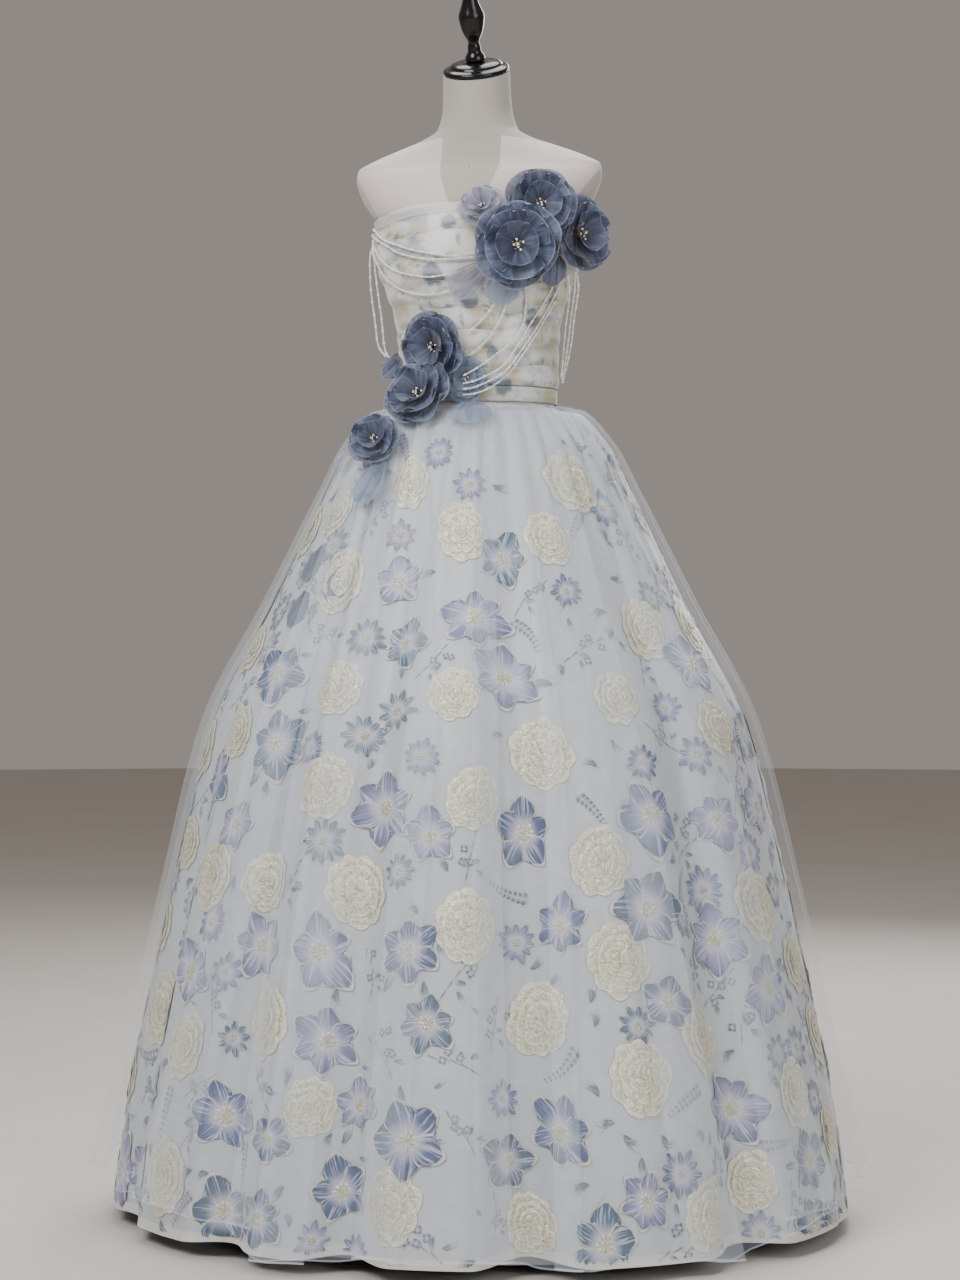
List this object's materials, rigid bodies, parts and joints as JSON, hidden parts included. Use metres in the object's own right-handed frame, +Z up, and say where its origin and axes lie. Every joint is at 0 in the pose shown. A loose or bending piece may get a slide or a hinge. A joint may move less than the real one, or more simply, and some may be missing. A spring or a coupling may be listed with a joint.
{
  "type": "ball gown on a dress form",
  "caption": "Strapless ball gown with draped bodice, pleated sheer overlay over a floral skirt, fabric flowers and bead strands, on a limbless dress form.",
  "frame": {"origin": "on the floor, in the middle of the stand base's underside, on the axis of the pole", "axes": "+Z up along the pole, the gown's front faces -Y, +X is the wearer's left side"},
  "size_m": [1.1161, 1.0539, 1.7811],
  "materials": {
    "base": "satin black paint",
    "pole": "brushed",
    "form": "matt stretched jersey",
    "turned": "gloss black lacquer",
    "bodice": "soft floral organza in draped folds",
    "band": "soft organza",
    "lining": "matt",
    "floral": "organza with woven flowers",
    "overlay": "sheer organza",
    "slate": "organza petals",
    "lilac": "organza petals",
    "pale": "organza petals",
    "pearl": "pearl"
  },
  "bodies": {
    "root": {"stand_base": "base", "stand_pole": "pole", "form_torso": "form", "neck_cap": "turned", "finial": "turned", "bodice_front": "bodice", "bodice_back_right": "bodice", "bodice_back_left": "bodice", "waistband": "band", "lining_front": "lining", "lining_back": "lining", "floral_skirt_front": "floral", "floral_skirt_back": "floral", "overlay_front": "overlay", "overlay_back": "overlay", "flower_neck_lilac": "lilac", "flower_neck_side": "slate", "flower_neck_top": "slate", "flower_neck_front": "slate", "flower_waist_top": "slate", "flower_waist_low": "slate", "flower_hip": "slate", "flower_waist_pale": "pale", "petal_neck_left": "lilac", "petal_neck_middle": "pale", "petal_neck_right": "slate", "petal_waist_left": "slate", "petal_waist_back": "slate", "petal_waist_pale": "pale", "petal_hip_low": "pale", "petal_hip_left": "lilac", "petal_veiled_high": "slate", "petal_veiled_right": "slate", "petal_veiled_low": "slate", "swag_1": "pearl", "swag_2": "pearl", "swag_3": "pearl", "swag_4": "pearl", "loop_left_1": "pearl", "loop_left_2": "pearl", "loop_right_1": "pearl", "loop_right_2": "pearl", "loop_right_3": "pearl", "sweep_1": "pearl", "sweep_2": "pearl", "sweep_3": "pearl", "sweep_4": "pearl", "sweep_5": "pearl", "sweep_6": "pearl"}
  },
  "joints": []
}
